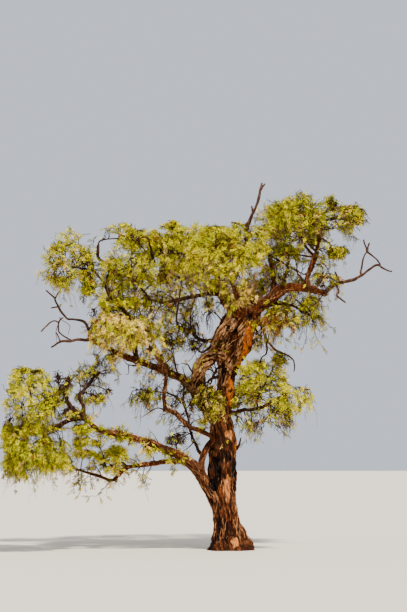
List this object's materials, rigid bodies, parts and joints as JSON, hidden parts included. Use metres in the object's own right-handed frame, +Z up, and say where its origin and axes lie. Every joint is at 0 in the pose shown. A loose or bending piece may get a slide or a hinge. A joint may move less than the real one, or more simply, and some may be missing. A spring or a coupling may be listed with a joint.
{
  "type": "acacia tree",
  "caption": "Gnarled savanna acacia with a leaning fluted trunk, long crooked boughs, dead limbs and a flat-topped crown of separate weeping leafy masses.",
  "frame": {"origin": "on the ground, in the middle of the flat cut under the trunk", "axes": "+Z up; +X to the side of the bare limb at the top right, with the long low bough reaching to -X; -Y towards the side that the picture shows"},
  "size_m": [7.3007, 4.4216, 7.0945],
  "materials": {
    "bark": "rough, deeply furrowed, with pale and charred patches",
    "dead_wood": "bare, weathered",
    "leaf_green": "matt leaves",
    "leaf_straw": "dry, matt"
  },
  "bodies": {
    "root": {"trunk": "bark", "left_stem": "bark", "long_left_bough": "bark", "low_left_bough": "bark", "cross_stem": "bark", "crooked_bough": "bark", "crooked_prop": "bark", "inner_limb": "bark", "left_arm": "bark", "twisted_limb": "bark", "dead_left_low": "dead_wood", "dead_left_high": "dead_wood", "black_limb": "bark", "left_fork_bough": "bark", "left_reach": "bark", "upright_left": "bark", "upright_centre": "bark", "dead_spike": "dead_wood", "middle_left_limb": "bark", "right_fork_bough": "bark", "upright_right": "bark", "dead_right_limb": "dead_wood", "right_top_limb": "bark", "right_mid_limb": "bark", "right_low_limb": "bark", "low_right_bough": "bark", "back_bough_left": "bark", "back_bough_centre": "bark", "back_bough_right": "bark", "front_bough": "bark", "crown_left_lobe": "leaf_green", "crown_left_wisp": "leaf_green", "crown_left_core": "leaf_green", "crown_mid_left": "leaf_green", "crown_centre": "leaf_green", "crown_right_dome": "leaf_green", "crown_right_tip": "leaf_green", "crown_right_inner": "leaf_green", "straw_skirt": "leaf_straw", "brown_tuft": "leaf_straw", "fork_tuft": "leaf_straw", "right_weep": "leaf_green", "rusty_tuft": "leaf_straw", "low_right_tuft": "leaf_green", "low_right_end": "leaf_green", "low_right_weep": "leaf_green", "far_left_spray": "leaf_green", "far_left_sparse": "leaf_green", "far_left_weep": "leaf_green", "left_shoot_tuft": "leaf_green", "low_left_ball": "leaf_green", "far_left_low": "leaf_green", "inner_weep": "leaf_green", "trunk_tuft": "leaf_green", "arm_weep": "leaf_straw", "back_left_crown": "leaf_green", "back_centre_crown": "leaf_green", "back_right_crown": "leaf_green", "front_crown": "leaf_green", "back_low_tuft": "leaf_green"}
  },
  "joints": []
}
